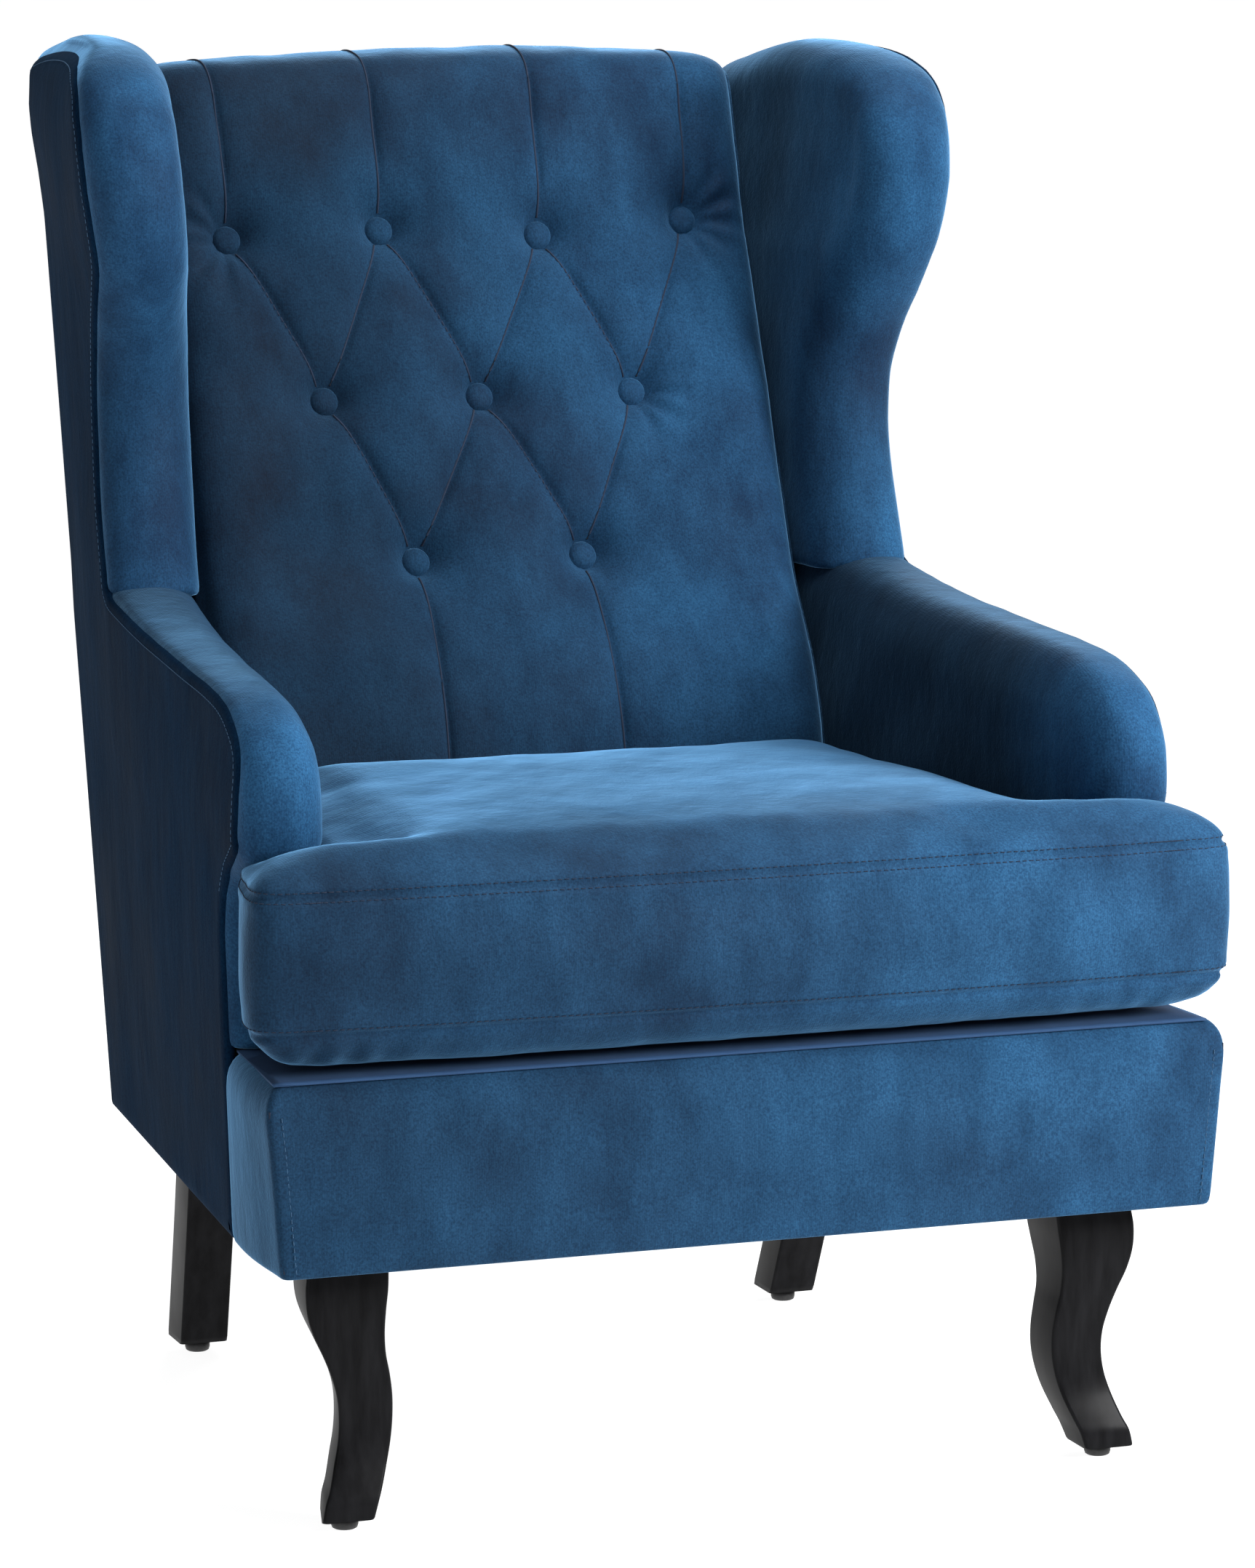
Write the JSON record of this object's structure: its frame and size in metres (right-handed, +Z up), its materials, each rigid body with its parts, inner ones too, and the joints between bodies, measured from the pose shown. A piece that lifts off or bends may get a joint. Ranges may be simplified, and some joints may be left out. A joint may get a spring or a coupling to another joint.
{
  "type": "upholstered armchair",
  "caption": "Wing-back armchair in blue velvet with a button-tufted back, padded arms, a loose T-shaped seat cushion, curved black front legs and raked rear legs.",
  "frame": {"origin": "on the floor, under the middle of the chair's bounding box", "axes": "+X to the right of someone looking at the chair's front, +Y towards the back, +Z up; the sitter looks along -Y"},
  "size_m": [0.718, 0.7821, 0.9973],
  "materials": {
    "timber": "planed softwood, unfinished",
    "screw_steel": "zinc plated",
    "spring_steel": "dark drawn wire",
    "clip_steel": "pressed strip",
    "felt": "needled wadding",
    "velvet": "short-pile blue velvet with a soft sheen",
    "deck_fabric": "plain woven platform cloth in the cover's colour",
    "webbing": "woven jute webbing",
    "hessian": "loose plain weave",
    "foam": "open-cell polyurethane foam",
    "twine": "waxed twine",
    "lining": "thin non-woven cloth",
    "zip": "nylon coil zip on tape",
    "black_lacquer": "satin black lacquer over turned-out timber",
    "black_plastic": "moulded, slightly dull"
  },
  "bodies": {
    "chair_frame": {"front_rail": "timber", "rear_rail": "timber", "left_side_rail": "timber", "right_side_rail": "timber", "corner_blocks": "timber", "corner_screws": "screw_steel", "left_back_post": "timber", "right_back_post": "timber", "back_top_rail": "timber", "back_lower_rail": "timber", "left_arm_post": "timber", "right_arm_post": "timber", "left_arm_rail": "timber", "right_arm_rail": "timber", "left_wing_board": "timber", "right_wing_board": "timber", "seat_springs": "spring_steel", "spring_clips": "clip_steel", "deck_pad": "felt", "deck_cloth": "deck_fabric", "back_webbing": "webbing", "back_hessian": "hessian", "back_foam": "foam", "back_cover": "velvet", "back_buttons": "velvet", "tufting_twines": "twine", "left_side_panel": "velvet", "right_side_panel": "velvet", "left_arm_foam": "foam", "right_arm_foam": "foam", "left_arm_cover": "velvet", "right_arm_cover": "velvet", "left_wing_foam": "foam", "right_wing_foam": "foam", "left_wing_cover": "velvet", "right_wing_cover": "velvet", "front_border": "velvet", "outside_back_panel": "velvet", "dust_cover": "lining", "left_front_leg": "black_lacquer", "right_front_leg": "black_lacquer", "left_rear_leg": "black_lacquer", "right_rear_leg": "black_lacquer", "leg_plates": "screw_steel", "leg_plate_screws": "screw_steel", "leg_bolts": "screw_steel", "foot_glides": "black_plastic"},
    "seat_cushion": {"cushion_foam": "foam", "cushion_cover": "velvet", "cushion_zip": "zip"}
  },
  "joints": [
    {"name": "cushion_pull", "type": "slide", "parent": "chair_frame", "child": "seat_cushion", "axis": [0, -0.9962, 0.0872], "range_m": [0, 0.55]}
  ]
}
